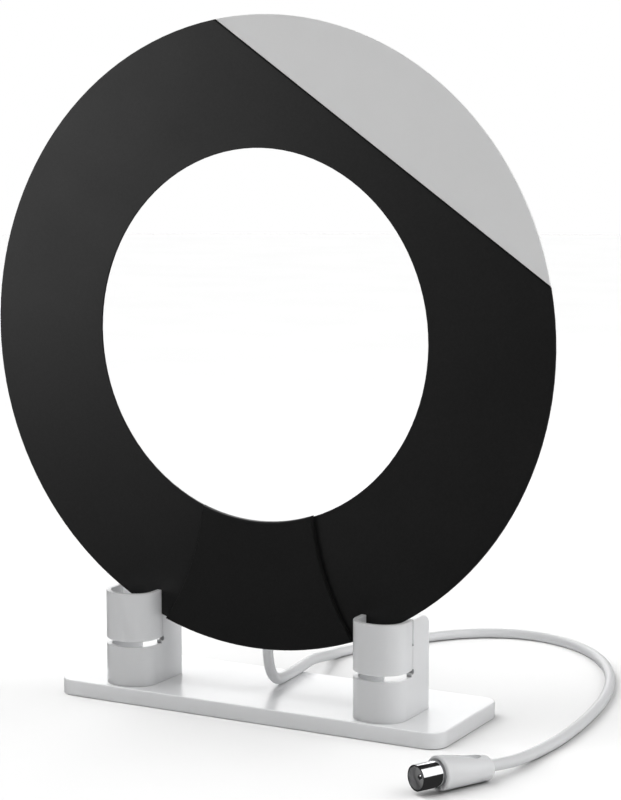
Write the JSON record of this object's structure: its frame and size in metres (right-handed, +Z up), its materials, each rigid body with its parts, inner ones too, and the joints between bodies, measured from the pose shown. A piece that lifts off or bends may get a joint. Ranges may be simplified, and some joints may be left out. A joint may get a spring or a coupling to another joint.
{
  "type": "indoor TV loop antenna",
  "caption": "Flat loop TV antenna: a thin ring on edge in two spring-clip posts on a low weighted base, with a coaxial lead and plug.",
  "frame": {"origin": "under the middle of the base, on the surface that the stand rests on", "axes": "+X along the base, -Y the front of the ring, +Z up"},
  "size_m": [0.251, 0.2349, 0.2763],
  "materials": {
    "white_gloss": "smooth moulded",
    "steel_plate": "zinc plated",
    "foot_rubber": "matt",
    "screw_steel": "zinc plated",
    "panel_light": "smooth",
    "film_dark": "satin",
    "strip_black": "satin",
    "foil_copper": "etched copper",
    "housing_black": "satin",
    "board_green": "solder mask",
    "tinned_steel": "tinned",
    "lug_brass": "plain",
    "cable_white": "PVC jacket",
    "plug_white": "moulded",
    "plug_nickel": "nickel plated",
    "insulator_grey": "moulded"
  },
  "bodies": {
    "stand": {"base_shell": "white_gloss", "base_bottom_cover": "white_gloss", "ballast_plate": "steel_plate", "rubber_feet": "foot_rubber", "base_cover_screws": "screw_steel", "post_screws": "screw_steel", "left_post": "white_gloss", "right_post": "white_gloss", "cable": "cable_white", "plug_body": "plug_white", "plug_barrel": "plug_nickel", "plug_insulator": "insulator_grey", "plug_centre_pin": "plug_nickel"},
    "disc": {"disc_rear_panel": "panel_light", "disc_front_film": "film_dark", "light_front_segment": "panel_light", "divider_strip": "strip_black", "left_antenna_foil": "foil_copper", "right_antenna_foil": "foil_copper", "housing_front_cover": "housing_black", "housing_rear_cover": "housing_black", "housing_screws": "screw_steel", "circuit_board": "board_green", "shield_can": "tinned_steel", "contact_lugs": "lug_brass", "strain_relief": "cable_white", "cable_tail": "cable_white", "cable_clamp": "tinned_steel"},
    "left_jaw": {"left_clip_jaw": "white_gloss"},
    "right_jaw": {"right_clip_jaw": "white_gloss"}
  },
  "joints": [
    {"name": "disc_lift", "type": "slide", "parent": "stand", "child": "disc", "axis": [0, 0, 1], "range_m": [0, 0.03]},
    {"name": "left_jaw_flex", "type": "hinge", "parent": "stand", "child": "left_jaw", "pos_m": [-0.05695, -0.0122, 0.0247], "axis": [1, 0, 0], "range_deg": [0, 5], "stiffness_Nm_per_rad": 0.2, "springref_deg": -1.15},
    {"name": "right_jaw_flex", "type": "hinge", "parent": "stand", "child": "right_jaw", "pos_m": [0.05695, -0.0122, 0.0247], "axis": [1, 0, 0], "range_deg": [0, 5], "stiffness_Nm_per_rad": 0.2, "springref_deg": -1.15}
  ]
}
